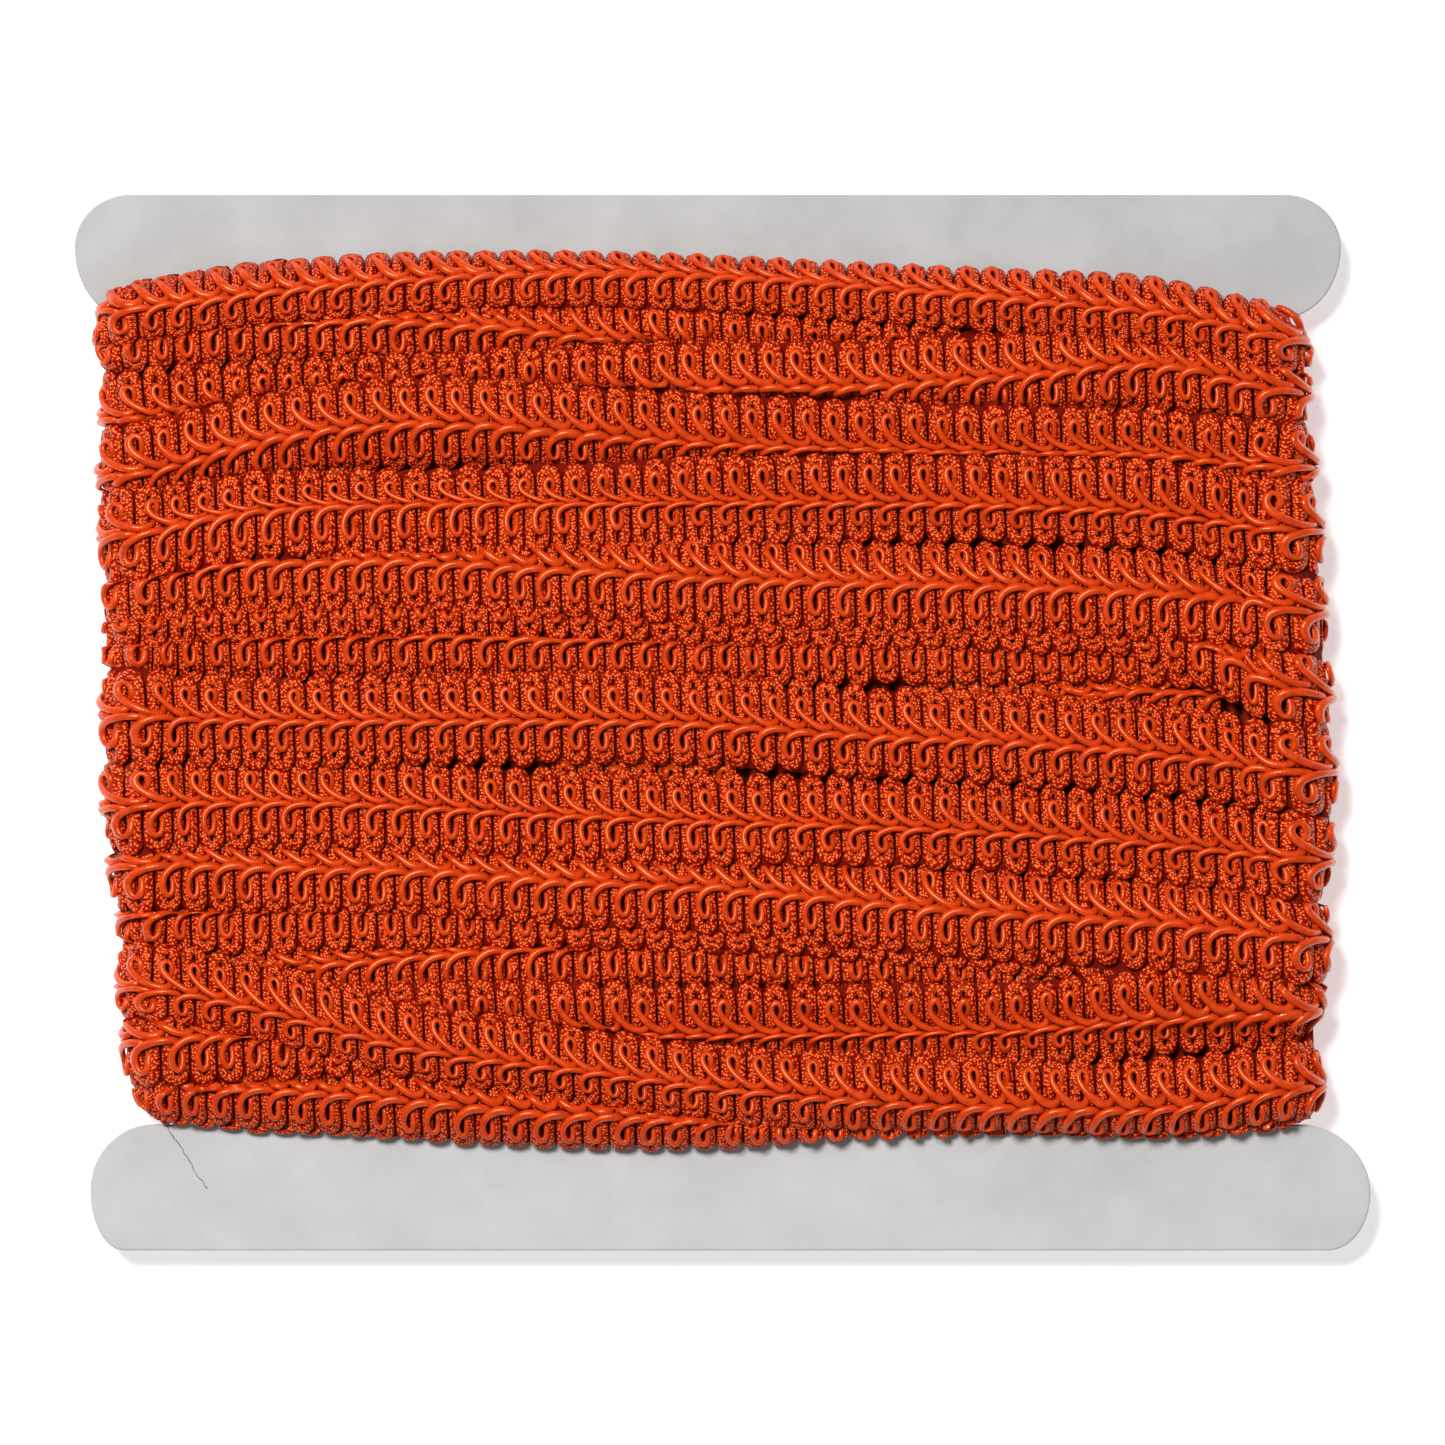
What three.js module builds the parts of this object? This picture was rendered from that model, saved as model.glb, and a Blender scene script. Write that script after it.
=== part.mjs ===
// Gimp braid trim wound on a card: a flat greyboard card with two round-ended flanges, and half-inch
// braid wound round the neck between them in overlapping courses. Millimetres, +Z up. It lies on its
// back with its face up, +X along the flanges, and the origin is under the middle of its box.

import * as THREE from 'three';

// Card
const cardThickness = 1.6;
const cardBevel = 0.2;
const flangeInnerEdge = { top: 54.6, bottom: -54.3 };
const arcSteps = 10;

// Each flange end is two quarter ellipses that meet at its waist, its point furthest out.
const flangeEnds = {
	topLeft: { outerX: -87.5, waistY: 64.2, outerCorner: [7.6, 7.1], innerCorner: [7.4, 9.6] },
	topRight: { outerX: 83.5, waistY: 64.2, outerCorner: [7.6, 7.1], innerCorner: [8.0, 9.6] },
	bottomLeft: { outerX: -85.4, waistY: -63.2, outerCorner: [4.6, 8.1], innerCorner: [8.4, 8.9] },
	bottomRight: { outerX: 87.5, waistY: -63.6, outerCorner: [5.8, 7.7], innerCorner: [9.6, 9.3] },
};

// The neck leans: its middle line moves along +X from the top flange to the bottom one.
const neckHalfWidth = 75;
const neckMiddleX = -1.35;
const neckLean = -0.04;

// Braid
const braidWidth = 12.7;
const crownThickness = 2.1;
const edgeThickness = 1.4;
const sink = 0.4;
const evenHeight = 3.8;
const evening = 0.45;
const nesting = 1.0;
const drapeReach = 2.6;

// Winding
const gap = 0.35;
const turnCentre = neckHalfWidth - 0.3;
const turnMeanRadius = 5;
const restDepth = 6.0;
const shoulderOnFace = 4.2;
const shoulderOnEnd = 1.4;
const edgeWall = 0.8;
const middleInset = 2.2;

// How upright the winding stands where it starts to reach over a flange, and where it reaches over fully:
// 0 is edge on at a turn, 1 is flat on the face or back. The foot, its underside, stays clear of the flange.
const reachStart = 0.27;
const reachFull = 0.47;
const leastReach = 0.01;
const footLimit = 3.8;

// Height of the plain inner layers of braid over the card, from the bottom of the winding to its top
const underPileStart = -60;
const underPileStep = 15;
const underPile = [1.8, 1.6, 1.6, 2.5, 3.3, 2.2, 2.5, 2.7, 2.4];

// How much looser the inner layers stand off the neck's edge at the left turn and at the right turn
const leftSlack = [-3.4, 0.2, 2.4, 4.9, 4.5, 2.2, 2.9, 1.0, 3.4];
const rightSlack = [-3.4, -1.6, 0.9, 6.6, 6.0, 6.2, 5.3, 3.3, 5.8];

// Places along +X at which the tables below give a value
const columnStart = -82.7;
const columnStep = 20.25;

// The winding's reach over the flanges on the face, from left to right
const windingTop = [58.7, 61.8, 63.3, 63.5, 63.0, 62.1, 61.4, 60.6, 56.4];
const windingBottom = [-54.6, -56.2, -56.7, -57.5, -57.5, -55.8, -55.4, -56.0, -54.6];

// One row for each course that crosses the face: when it was laid, 1 being the first, and the height of
// its middle line up the card at each column, from left to right.
const courses = [
	{ laid: 15, y: [57.0, 59.8, 60.8, 60.9, 60.2, 58.7, 57.4, 56.0, 52.2] },
	{ laid: 5, y: [52.9, 54.3, 54.3, 52.7, 50.1, 48.2, 47.1, 46.4, 44.8] },
	{ laid: 8, y: [41.0, 42.8, 43.3, 44.6, 45.5, 45.6, 46.8, 48.3, 44.1] },
	{ laid: 12, y: [33.5, 38.3, 40.6, 39.8, 38.5, 37.7, 37.0, 36.5, 34.3] },
	{ laid: 18, y: [25.0, 27.9, 28.6, 29.3, 30.1, 30.4, 30.0, 29.0, 25.9] },
	{ laid: 14, y: [19.8, 21.3, 21.5, 20.5, 19.3, 18.6, 18.1, 17.1, 14.9] },
	{ laid: 13, y: [16.5, 17.8, 18.1, 17.6, 16.7, 16.1, 15.5, 13.6, 3.4] },
	{ laid: 10, y: [11.7, 11.9, 11.9, 11.3, 11.3, 11.2, 11.1, 10.8, 8.4] },
	{ laid: 17, y: [1.2, 0.3, 0.3, 0.5, 0.0, -1.5, -2.4, -3.9, -6.5] },
	{ laid: 11, y: [-11.2, -10.9, -11.3, -12.6, -13.5, -13.8, -14.6, -16.1, -18.0] },
	{ laid: 9, y: [-19.0, -19.6, -20.2, -21.5, -22.3, -24.3, -25.9, -27.1, -29.0] },
	{ laid: 4, y: [-25.5, -25.0, -24.7, -24.7, -25.1, -26.1, -27.4, -28.8, -30.8] },
	{ laid: 3, y: [-35.5, -33.8, -32.0, -30.5, -29.7, -30.1, -30.8, -31.5, -32.8] },
	{ laid: 2, y: [-42.3, -40.9, -39.2, -36.6, -35.0, -33.9, -33.5, -33.2, -34.2] },
	{ laid: 7, y: [-42.9, -41.9, -41.2, -41.0, -41.3, -41.0, -40.5, -38.6, -37.9] },
	{ laid: 16, y: [-35.5, -38.5, -43.6, -46.4, -49.0, -50.5, -51.2, -51.4, -49.0] },
	{ laid: 6, y: [-47.7, -48.7, -50.4, -52.1, -52.7, -52.9, -52.9, -52.4, -50.4] },
	{ laid: 1, y: [-50.4, -51.0, -51.7, -52.4, -52.7, -52.7, -52.4, -52.1, -51.0] },
];

// Where the braid comes from before the first course, and where it goes after the last one
const leadIn = 51.0;
const leadOut = -50.0;
const backWander = 1.3;
const wanderTurn = 1.9;

// Fineness of the winding's solid
const faceStations = 16;
const turnStations = 12;
const linesAcross = 84;
const fineStep = 0.4;
const fineStart = -64;
const fineCount = 330;

const cardHalf = cardThickness / 2;
const cardMiddleZ = cardHalf + restDepth;
const turnLength = Math.PI * turnMeanRadius;

function mix(a, b, share) {
	return a + (b - a) * share;
}

// A smooth line through the values of a table with even steps, level beyond its two ends
function tableValue(values, at, start, step) {
	const last = values.length - 1;
	const place = THREE.MathUtils.clamp((at - start) / step, 0, last);
	const from = Math.min(Math.floor(place), last - 1);
	const share = place - from;
	const before = values[Math.max(from - 1, 0)];
	const after = values[Math.min(from + 2, last)];
	const slopeFrom = (values[from + 1] - before) / 2;
	const slopeTo = (after - values[from]) / 2;
	const square = share * share;
	const cube = square * share;
	return (2 * cube - 3 * square + 1) * values[from] + (cube - 2 * square + share) * slopeFrom
		+ (3 * square - 2 * cube) * values[from + 1] + (cube - square) * slopeTo;
}

function columnValue(values, x) {
	return tableValue(values, x, columnStart, columnStep);
}

function neckShift(y) {
	return neckMiddleX + neckLean * y;
}

// The route round the neck: the face from left to right, the right turn, the back from right to left and
// the left turn. A station knows its distance along the route, measured from the middle of the face.
function routeStations() {
	const stations = [];
	for (let i = 0; i < turnStations; i++) {
		const angle = Math.PI * (i / turnStations - 1);
		stations.push({ side: 'left', angle, distance: -turnCentre + turnMeanRadius * angle });
	}
	for (let i = 0; i < faceStations; i++) {
		const distance = mix(-turnCentre, turnCentre, i / faceStations);
		stations.push({ side: 'face', angle: 0, distance });
	}
	for (let i = 0; i < turnStations; i++) {
		const angle = Math.PI * i / turnStations;
		stations.push({ side: 'right', angle, distance: turnCentre + turnMeanRadius * angle });
	}
	for (let i = 0; i < faceStations; i++) {
		const distance = turnCentre + turnLength + 2 * turnCentre * i / faceStations;
		stations.push({ side: 'back', angle: Math.PI, distance });
	}
	return stations;
}

// A point of the winding, from its station, its place up the card and its height over the card's surface
function windingPoint(station, y, height) {
	const radius = cardHalf + height;
	const backDistance = station.distance - turnCentre - turnLength;
	const middles = {
		left: -turnCentre,
		face: station.distance,
		right: turnCentre,
		back: turnCentre - backDistance,
	};
	const x = middles[station.side] + radius * Math.sin(station.angle) + neckShift(y);
	return new THREE.Vector3(x, y, cardMiddleZ + radius * Math.cos(station.angle));
}

// The middle line of a course: by the table on the face and the turns beside it, then straight over the
// back to the start of the next course, with a slight wander
function courseMiddle(index, distance) {
	const course = courses[index];
	const right = course ? course.y.at(-1) : leadIn;
	const next = courses[index + 1] ? courses[index + 1].y[0] : leadOut;
	const share = (distance - turnCentre - turnLength) / (2 * turnCentre);
	if (share > 0) {
		const wave = Math.sin(2 * Math.PI * share + wanderTurn * index) * Math.sin(Math.PI * share);
		return mix(right, next, share) + backWander * wave;
	}
	return course ? columnValue(course.y, distance + neckShift(course.y[4])) : null;
}

// How far the winding reaches up and down the card at a station. It leans out over the flanges on the
// face and the back, and draws in between them at the turns.
function windingEdges(station) {
	const lean = Math.abs(Math.cos(station.angle));
	const share = THREE.MathUtils.clamp((lean - reachStart) / (reachFull - reachStart), leastReach, 1);
	const x = windingPoint(station, 0, 0).x;
	const notchTop = flangeInnerEdge.top - gap;
	const notchBottom = flangeInnerEdge.bottom + gap;
	return {
		notchTop,
		notchBottom,
		top: mix(notchTop, columnValue(windingTop, x), share),
		bottom: mix(notchBottom, columnValue(windingBottom, x), share),
		foot: Math.min((cardHalf + gap) / Math.max(lean, leastReach) - cardHalf, footLimit),
		shoulder: mix(shoulderOnEnd, shoulderOnFace, share),
	};
}

function roundedRise(distanceIn, width) {
	const share = THREE.MathUtils.clamp(distanceIn / width, 0, 1);
	return Math.sqrt(1 - (1 - share) ** 2);
}

function smoothed(values, reach) {
	const span = Math.round(reach / fineStep);
	let result = values;
	for (let pass = 0; pass < 2; pass++) {
		const source = result;
		result = source.map((value, i) => {
			const part = source.slice(Math.max(i - span, 0), i + span + 1);
			return part.reduce((sum, each) => sum + each, 0) / part.length;
		});
	}
	return result;
}

// Lays one course: it sinks into the smoothed pile, more where the pile is already high, and its width
// is measured along that drape, so on a shoulder it covers less of the card.
function layCourse(pile, middle) {
	const drape = smoothed(pile, drapeReach).map((value, i) => {
		const depth = sink + evening * Math.max(value - evenHeight, 0);
		return Math.max(value - depth, pile[i] - depth - nesting);
	});
	const start = Math.round((middle - fineStart) / fineStep);
	for (const direction of [-1, 1]) {
		let across = 0;
		for (let i = start; across < braidWidth / 2 && i > 0 && i < fineCount - 1; i += direction) {
			const round = Math.sqrt(1 - (2 * across / braidWidth) ** 2);
			pile[i] = Math.max(pile[i], drape[i] + mix(edgeThickness, crownThickness, round));
			across += Math.hypot(fineStep, drape[i + direction] - drape[i]);
		}
	}
}

// The height of the winding over the card's surface, on fine lines up the card at one station: the pile
// of plain inner layers, and then every course in the order in which it was laid
function pileHeights(station, edges) {
	const slack = Math.sin(station.angle) < 0 ? leftSlack : rightSlack;
	const pile = Array.from({ length: fineCount }, (_, i) => {
		const y = fineStart + i * fineStep;
		const distanceIn = Math.min(edges.top - y, y - edges.bottom);
		const loose = tableValue(slack, y, underPileStart, underPileStep) * Math.abs(Math.sin(station.angle));
		const height = Math.max(tableValue(underPile, y, underPileStart, underPileStep) + loose, 0);
		return height * roundedRise(distanceIn, edges.shoulder);
	});
	const order = courses.map((course, index) => ({ index, laid: course.laid }));
	order.push({ index: -1, laid: 0 });
	order.sort((a, b) => a.laid - b.laid);
	for (const { index } of order) {
		const middle = courseMiddle(index, station.distance);
		if (middle === null) continue;
		const lowest = edges.bottom + middleInset;
		layCourse(pile, THREE.MathUtils.clamp(middle, lowest, edges.top - middleInset));
	}
	return pile;
}

// One closed section of the winding: over the courses from bottom to top, and back along the card
function windingSection(station) {
	const edges = windingEdges(station);
	const pile = pileHeights(station, edges);
	const section = [];
	for (let i = 0; i < linesAcross; i++) {
		const y = mix(edges.bottom, edges.top, i / (linesAcross - 1));
		const line = (y - fineStart) / fineStep;
		const from = Math.floor(line);
		const height = mix(pile[from], pile[from + 1], line - from);
		section.push([y, Math.max(height, edges.foot + edgeWall)]);
	}
	section.push([edges.top, edges.foot], [edges.notchTop, edges.foot], [edges.notchTop, gap]);
	section.push([edges.notchBottom, gap], [edges.notchBottom, edges.foot], [edges.bottom, edges.foot]);
	return section.map(([y, height]) => windingPoint(station, y, height));
}

// Sections joined into a closed ring. What would reach under the surface that the part lies on is
// pressed flat there.
function ringGeometry(sections) {
	const across = sections[0].length;
	const positions = sections.flat().flatMap((point) => [point.x, point.y, Math.max(point.z, 0)]);
	const triangles = [];
	for (let i = 0; i < sections.length; i++) {
		const next = (i + 1) % sections.length;
		for (let j = 0; j < across; j++) {
			const beside = (j + 1) % across;
			const [a, b] = [i * across + j, i * across + beside];
			const [c, d] = [next * across + j, next * across + beside];
			triangles.push(a, c, b, b, c, d);
		}
	}
	const geometry = new THREE.BufferGeometry();
	geometry.setAttribute('position', new THREE.Float32BufferAttribute(positions, 3));
	geometry.setIndex(triangles);
	geometry.computeVertexNormals();
	return geometry;
}

// The arc of one flange end, from its waist out to the edge or from the edge back to its waist
function addCorner(shape, end, corner, direction, fromAngle, toAngle) {
	const [radiusX, radiusY] = end[corner];
	const centreX = end.outerX - direction * radiusX;
	const clockwise = toAngle < fromAngle;
	shape.absellipse(centreX, end.waistY, radiusX, radiusY, fromAngle, toAngle, clockwise);
}

function cardShape() {
	const { topLeft, topRight, bottomLeft, bottomRight } = flangeEnds;
	const { top, bottom } = flangeInnerEdge;
	const quarter = Math.PI / 2;
	const shape = new THREE.Shape();
	shape.moveTo(neckShift(top) + neckHalfWidth, top);
	shape.lineTo(neckShift(bottom) + neckHalfWidth, bottom);
	addCorner(shape, bottomRight, 'innerCorner', 1, quarter, 0);
	addCorner(shape, bottomRight, 'outerCorner', 1, 0, -quarter);
	addCorner(shape, bottomLeft, 'outerCorner', -1, 3 * quarter, 2 * quarter);
	addCorner(shape, bottomLeft, 'innerCorner', -1, 2 * quarter, quarter);
	shape.lineTo(neckShift(bottom) - neckHalfWidth, bottom);
	shape.lineTo(neckShift(top) - neckHalfWidth, top);
	addCorner(shape, topLeft, 'innerCorner', -1, 3 * quarter, 2 * quarter);
	addCorner(shape, topLeft, 'outerCorner', -1, 2 * quarter, quarter);
	addCorner(shape, topRight, 'outerCorner', 1, quarter, 0);
	addCorner(shape, topRight, 'innerCorner', 1, 0, -quarter);
	return shape;
}

function makeCard() {
	const geometry = new THREE.ExtrudeGeometry(cardShape(), {
		depth: cardThickness - 2 * cardBevel,
		bevelThickness: cardBevel,
		bevelSize: cardBevel,
		bevelOffset: -cardBevel,
		bevelSegments: 1,
		curveSegments: arcSteps,
	});
	const material = new THREE.MeshStandardMaterial({ color: 0xd2d2cf, roughness: 0.85, metalness: 0 });
	const card = new THREE.Mesh(geometry, material);
	card.name = 'card';
	card.position.z = cardMiddleZ - cardHalf + cardBevel;
	return card;
}

function makeWoundBraid() {
	const geometry = ringGeometry(routeStations().map(windingSection));
	const material = new THREE.MeshStandardMaterial({ color: 0xcc4112, roughness: 0.6, metalness: 0 });
	const woundBraid = new THREE.Mesh(geometry, material);
	woundBraid.name = 'wound_braid';
	return woundBraid;
}

const gimpBraidTrim = new THREE.Group();
gimpBraidTrim.add(makeCard(), makeWoundBraid());

export default gimpBraidTrim;
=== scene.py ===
# Gimp braid trim wound on a card, lying on its back on a pale floor under soft studio light.
import math

import bpy
import numpy as np
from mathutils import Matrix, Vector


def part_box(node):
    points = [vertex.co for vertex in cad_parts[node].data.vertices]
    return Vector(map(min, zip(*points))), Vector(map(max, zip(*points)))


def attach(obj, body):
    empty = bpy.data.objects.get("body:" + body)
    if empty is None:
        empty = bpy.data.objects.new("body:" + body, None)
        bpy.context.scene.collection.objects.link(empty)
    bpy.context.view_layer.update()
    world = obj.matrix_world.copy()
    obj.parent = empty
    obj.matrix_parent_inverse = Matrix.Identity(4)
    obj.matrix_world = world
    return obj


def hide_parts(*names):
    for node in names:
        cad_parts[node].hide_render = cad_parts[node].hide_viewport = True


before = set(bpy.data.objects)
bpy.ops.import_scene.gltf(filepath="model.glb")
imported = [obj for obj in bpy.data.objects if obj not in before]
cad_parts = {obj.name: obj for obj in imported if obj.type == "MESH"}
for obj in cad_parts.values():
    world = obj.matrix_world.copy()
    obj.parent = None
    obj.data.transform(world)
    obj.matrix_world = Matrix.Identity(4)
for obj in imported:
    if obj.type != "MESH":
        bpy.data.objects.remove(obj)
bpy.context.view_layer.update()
mm = 0.001

# Camera straight over the face. The frame's width at the card is the photograph's 195 mm.
camera = dict(distance=1.25, frameWidth=0.1951, sensorWidth=36.0)

cardLow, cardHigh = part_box("card")
cameraData = bpy.data.cameras.new("camera")
cameraData.sensor_width = camera["sensorWidth"]
cameraData.lens = camera["sensorWidth"] * camera["distance"] / camera["frameWidth"]
cameraObject = bpy.data.objects.new("camera", cameraData)
bpy.context.scene.collection.objects.link(cameraObject)
cameraObject.location = (0, 0, cardHigh.z + camera["distance"])
bpy.context.scene.camera = cameraObject
print("camera set")


# Sizes in millimetres. The card's and the route's are those of the solid that the braid stands for. The
# winding's edges, inner layers and top course differ by up to 2.5, to give the drawn cords their room.
card = dict(
    thickness=(cardHigh.z - cardLow.z) / mm, middleZ=(cardHigh.z + cardLow.z) / 2 / mm,
    flangeTop=54.6, flangeBottom=-54.3, neckHalfWidth=75.0, neckMiddleX=-1.35, neckLean=-0.04, turnInset=0.3,
)
winding = dict(
    gap=0.35, turnRadius=5.0, restDepth=6.0, shoulderOnFace=4.2, shoulderOnEnd=1.4,
    reachStart=0.27, reachFull=0.47, footLimit=3.8, sink=0.4, evenHeight=3.8, evening=0.45, nesting=1.0,
    drapeReach=2.6, edgeInset=0.6, edgeFoot=0.35, edgeSlope=1.1, edgeSwell=0.45, swellFrom=2.0,
    middleInset=2.2, backWander=1.3, wanderTurn=1.9, leadIn=51.0, leadOut=-50.0, sunkenDepth=1.7,
    pressed=0.45, cordsOnBack=3.2, backFrom=110, thinAtTurn=0.93, archAtTurn=0.4, joinReach=16.0,
    seenRoom=5.0, middleBand=0.2, hiddenStart=8.0, faceMargin=4.0,
    stationStep=1.2, fineStep=0.4, fineStart=-66.0, fineCount=336,
)
braid = dict(width=13.2, spare=0.25, lines=29, crown=2.1, edge=1.4, pitch=3.6, arch=0.9)

# The inner pile, which fills the winding under the courses that show: how deep it lies under the pile's
# surface, how high it rises under a course, and how far it stays inside the winding's edge
inner = dict(depth=2.4, depthAtTurn=2.5, rise=0.5, border=1.2, inset=0.8, insetAtTurn=2.4, lines=150)

# Height of the plain inner layers of braid over the card, from the bottom of the winding to its top, and
# how much looser they stand off the neck's edge at the two turns
underPile = dict(
    start=-60.0, step=15.0, values=[1.8, 1.6, 1.6, 2.5, 3.3, 2.2, 2.5, 2.9, 3.9],
    left=[-3.9, 0.5, 2.4, 5.5, 5.2, 2.8, 3.3, 1.2, 4.2],
    right=[-4.2, -1.4, 1.4, 7.1, 7.0, 7.3, 6.6, 3.8, 6.8],
)

# Places along +X at which the tables below give a value
columns = dict(start=-82.7, step=20.25)
windingTop = [58.7, 61.8, 63.3, 63.5, 63.0, 62.1, 61.4, 60.6, 56.4]
windingBottom = [-54.6, -56.2, -56.7, -57.5, -57.5, -55.8, -55.4, -56.0, -54.6]

# One row for each course that crosses the face: when it was laid, 1 being the first, the share of its
# lower half's width that is seen from the front, and the height of its middle line at each column
courses = [
    (15, 0.62, [54.8, 57.3, 58.9, 59.5, 59.0, 57.8, 56.3, 54.4, 50.6]),
    (5, 1, [52.9, 54.3, 54.3, 52.7, 50.1, 48.2, 47.1, 46.4, 44.8]),
    (8, 1, [41.0, 42.8, 43.3, 44.6, 45.5, 45.6, 46.8, 48.3, 44.1]),
    (12, 1, [33.5, 38.3, 40.6, 39.8, 38.5, 37.7, 37.0, 36.5, 34.3]),
    (18, 1, [25.0, 27.9, 28.6, 29.3, 30.1, 30.4, 30.0, 29.0, 25.9]),
    (14, 1, [19.8, 21.3, 21.5, 20.5, 19.3, 18.6, 18.1, 17.1, 14.9]),
    (13, 1, [16.5, 17.8, 18.1, 17.6, 16.7, 16.1, 15.5, 13.6, 3.4]),
    (10, 1, [11.7, 11.9, 11.9, 11.3, 11.3, 11.2, 11.1, 10.8, 8.4]),
    (17, 1, [1.2, 0.3, 0.3, 0.5, 0.0, -1.5, -2.4, -3.9, -6.5]),
    (11, 1, [-11.2, -10.9, -11.3, -12.6, -13.5, -13.8, -14.6, -16.1, -18.0]),
    (9, 1, [-19.0, -19.6, -20.2, -21.5, -22.3, -24.3, -25.9, -27.1, -29.0]),
    (4, 1, [-25.5, -25.0, -24.7, -24.7, -25.1, -26.1, -27.4, -28.8, -30.8]),
    (3, 1, [-35.5, -33.8, -32.0, -30.5, -29.7, -30.1, -30.8, -31.5, -32.8]),
    (2, 1, [-42.3, -40.9, -39.2, -36.6, -35.0, -33.9, -33.5, -33.2, -34.2]),
    (7, 1, [-42.9, -41.9, -41.2, -41.0, -41.3, -41.0, -40.5, -38.6, -37.9]),
    (16, 0.66, [-35.5, -38.5, -43.6, -46.4, -49.0, -50.5, -51.2, -51.4, -49.0]),
    (6, 0.9, [-47.7, -48.7, -50.4, -52.1, -52.7, -52.9, -52.9, -52.4, -50.4]),
    (1, 0.9, [-50.4, -51.0, -51.7, -52.4, -52.7, -52.7, -52.4, -52.1, -51.0]),
]

# Middle lines of courses of the layer below, which show only down the gaps between those above
sunkenCourses = [
    [5.0, 4.0, 3.2, 2.6, 2.0, 1.6, 1.8, 4.4, 3.4],
    [-9.4, -9.8, -10.0, -10.2, -10.4, -10.8, -11.5, -12.4, -13.6],
    [-41.0, -41.8, -42.4, -43.0, -43.4, -43.8, -44.2, -44.4, -44.4],
    [25.5, 26.0, 26.0, 25.5, 25.0, 24.5, 24.0, 23.0, 21.0],
    [49.0, 50.0, 50.6, 51.4, 51.8, 52.0, 52.4, 52.6, 51.0],
]

cardHalf = card["thickness"] / 2
turnCentre = card["neckHalfWidth"] - card["turnInset"]
turnLength = math.pi * winding["turnRadius"]
routeStart = -turnCentre - turnLength
routeEnd = 3 * turnCentre + turnLength
routeLength = routeEnd - routeStart
halfWidth = braid["width"] / 2


def mix(a, b, share):
    return a + (b - a) * share


# Cubic Hermite line through evenly spaced values; slopes are half the difference of the neighbours.
def tableLine(values, at, start, step):
    values = np.asarray(values, float)
    place = np.clip((np.asarray(at, float) - start) / step, 0, len(values) - 1)
    index = np.minimum(place.astype(int), len(values) - 2)
    t = place - index
    before = values[np.maximum(index - 1, 0)]
    after = values[np.minimum(index + 2, len(values) - 1)]
    first, second = values[index], values[index + 1]
    slopeFirst, slopeSecond = (second - before) / 2, (after - first) / 2
    return ((2 * t**3 - 3 * t**2 + 1) * first + (t**3 - 2 * t**2 + t) * slopeFirst
            + (3 * t**2 - 2 * t**3) * second + (t**3 - t**2) * slopeSecond)


def columnLine(values, x):
    return tableLine(values, x, columns["start"], columns["step"])


def neckShift(y):
    return card["neckMiddleX"] + card["neckLean"] * y


# Angle round the turns: -180 to 0 degrees round the left end, 0 on the face, 0 to 180 round the right.
def turnAngle(q):
    left = np.clip((q + turnCentre) / winding["turnRadius"], -math.pi, 0)
    right = np.clip((q - turnCentre) / winding["turnRadius"], 0, math.pi)
    return left + right


# A place in the winding: q along the route round the neck, y up the card, h over the card's surface.
# x = middle + (half card + h) sin(angle) + shift(y), z = card's middle + (half card + h) cos(angle)
def windingPoint(q, y, h):
    angle = turnAngle(q)
    middle = np.clip(q, -turnCentre, turnCentre) - np.clip(q - turnCentre - turnLength, 0, 2 * turnCentre)
    radius = cardHalf + h
    x = middle + radius * np.sin(angle) + neckShift(y)
    z = card["middleZ"] + radius * np.cos(angle)
    return np.stack([x, np.broadcast_to(y, x.shape), z], axis=-1)


# How far the winding reaches up and down the card: over the flanges on the face and back, and drawn in
# between them at the turns
def windingEdges(q):
    lean = np.maximum(np.abs(np.cos(turnAngle(q))), 0.01)
    start, full = winding["reachStart"], winding["reachFull"]
    share = np.clip((lean - start) / (full - start), 0.01, 1)
    x = windingPoint(q, np.zeros_like(q), np.zeros_like(q))[..., 0]
    notchTop = card["flangeTop"] - winding["gap"]
    notchBottom = card["flangeBottom"] + winding["gap"]
    inset = winding["edgeInset"]
    return dict(
        share=share, notchTop=notchTop, notchBottom=notchBottom,
        top=mix(notchTop, columnLine(windingTop, x) - inset, share),
        bottom=mix(notchBottom, columnLine(windingBottom, x) + inset, share),
        foot=np.minimum((cardHalf + winding["gap"]) / lean - cardHalf, winding["footLimit"]),
        shoulder=mix(winding["shoulderOnEnd"], winding["shoulderOnFace"], share),
    )


# Middle line of a course along the route; on the back it runs straight to the next course's start.
def courseMiddle(index, q):
    if index >= len(courses):
        return columnLine(sunkenCourses[index - len(courses)], q + winding["gap"])
    isCourse = index >= 0
    right = courses[index][2][-1] if isCourse else winding["leadIn"]
    following = courses[index + 1][2][0] if index + 1 < len(courses) else winding["leadOut"]
    share = np.clip((q - turnCentre - turnLength) / (2 * turnCentre), 0, 1)
    wander = winding["backWander"] * np.sin(2 * np.pi * share + winding["wanderTurn"] * index)
    wander = wander * np.sin(np.pi * share)
    back = mix(right, following, share) + wander
    if not isCourse:
        return back
    values = courses[index][2]
    return np.where(share > 0, back, columnLine(values, q + neckShift(values[4])))


# Running mean over a window of +-reach, twice, along the last axis, with shorter windows at the ends
def smoothed(values, reach, step):
    span = int(round(reach / step))
    count = values.shape[-1]
    low = np.maximum(np.arange(count) - span, 0)
    high = np.minimum(np.arange(count) + span + 1, count)
    for _ in range(2):
        total = np.concatenate([np.zeros(values.shape[:-1] + (1,)), np.cumsum(values, axis=-1)], axis=-1)
        values = (total[..., high] - total[..., low]) / (high - low)
    return values


def quarterRound(distance, width):
    return np.sqrt(1 - (1 - np.clip(distance / width, 0, 1)) ** 2)


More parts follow.
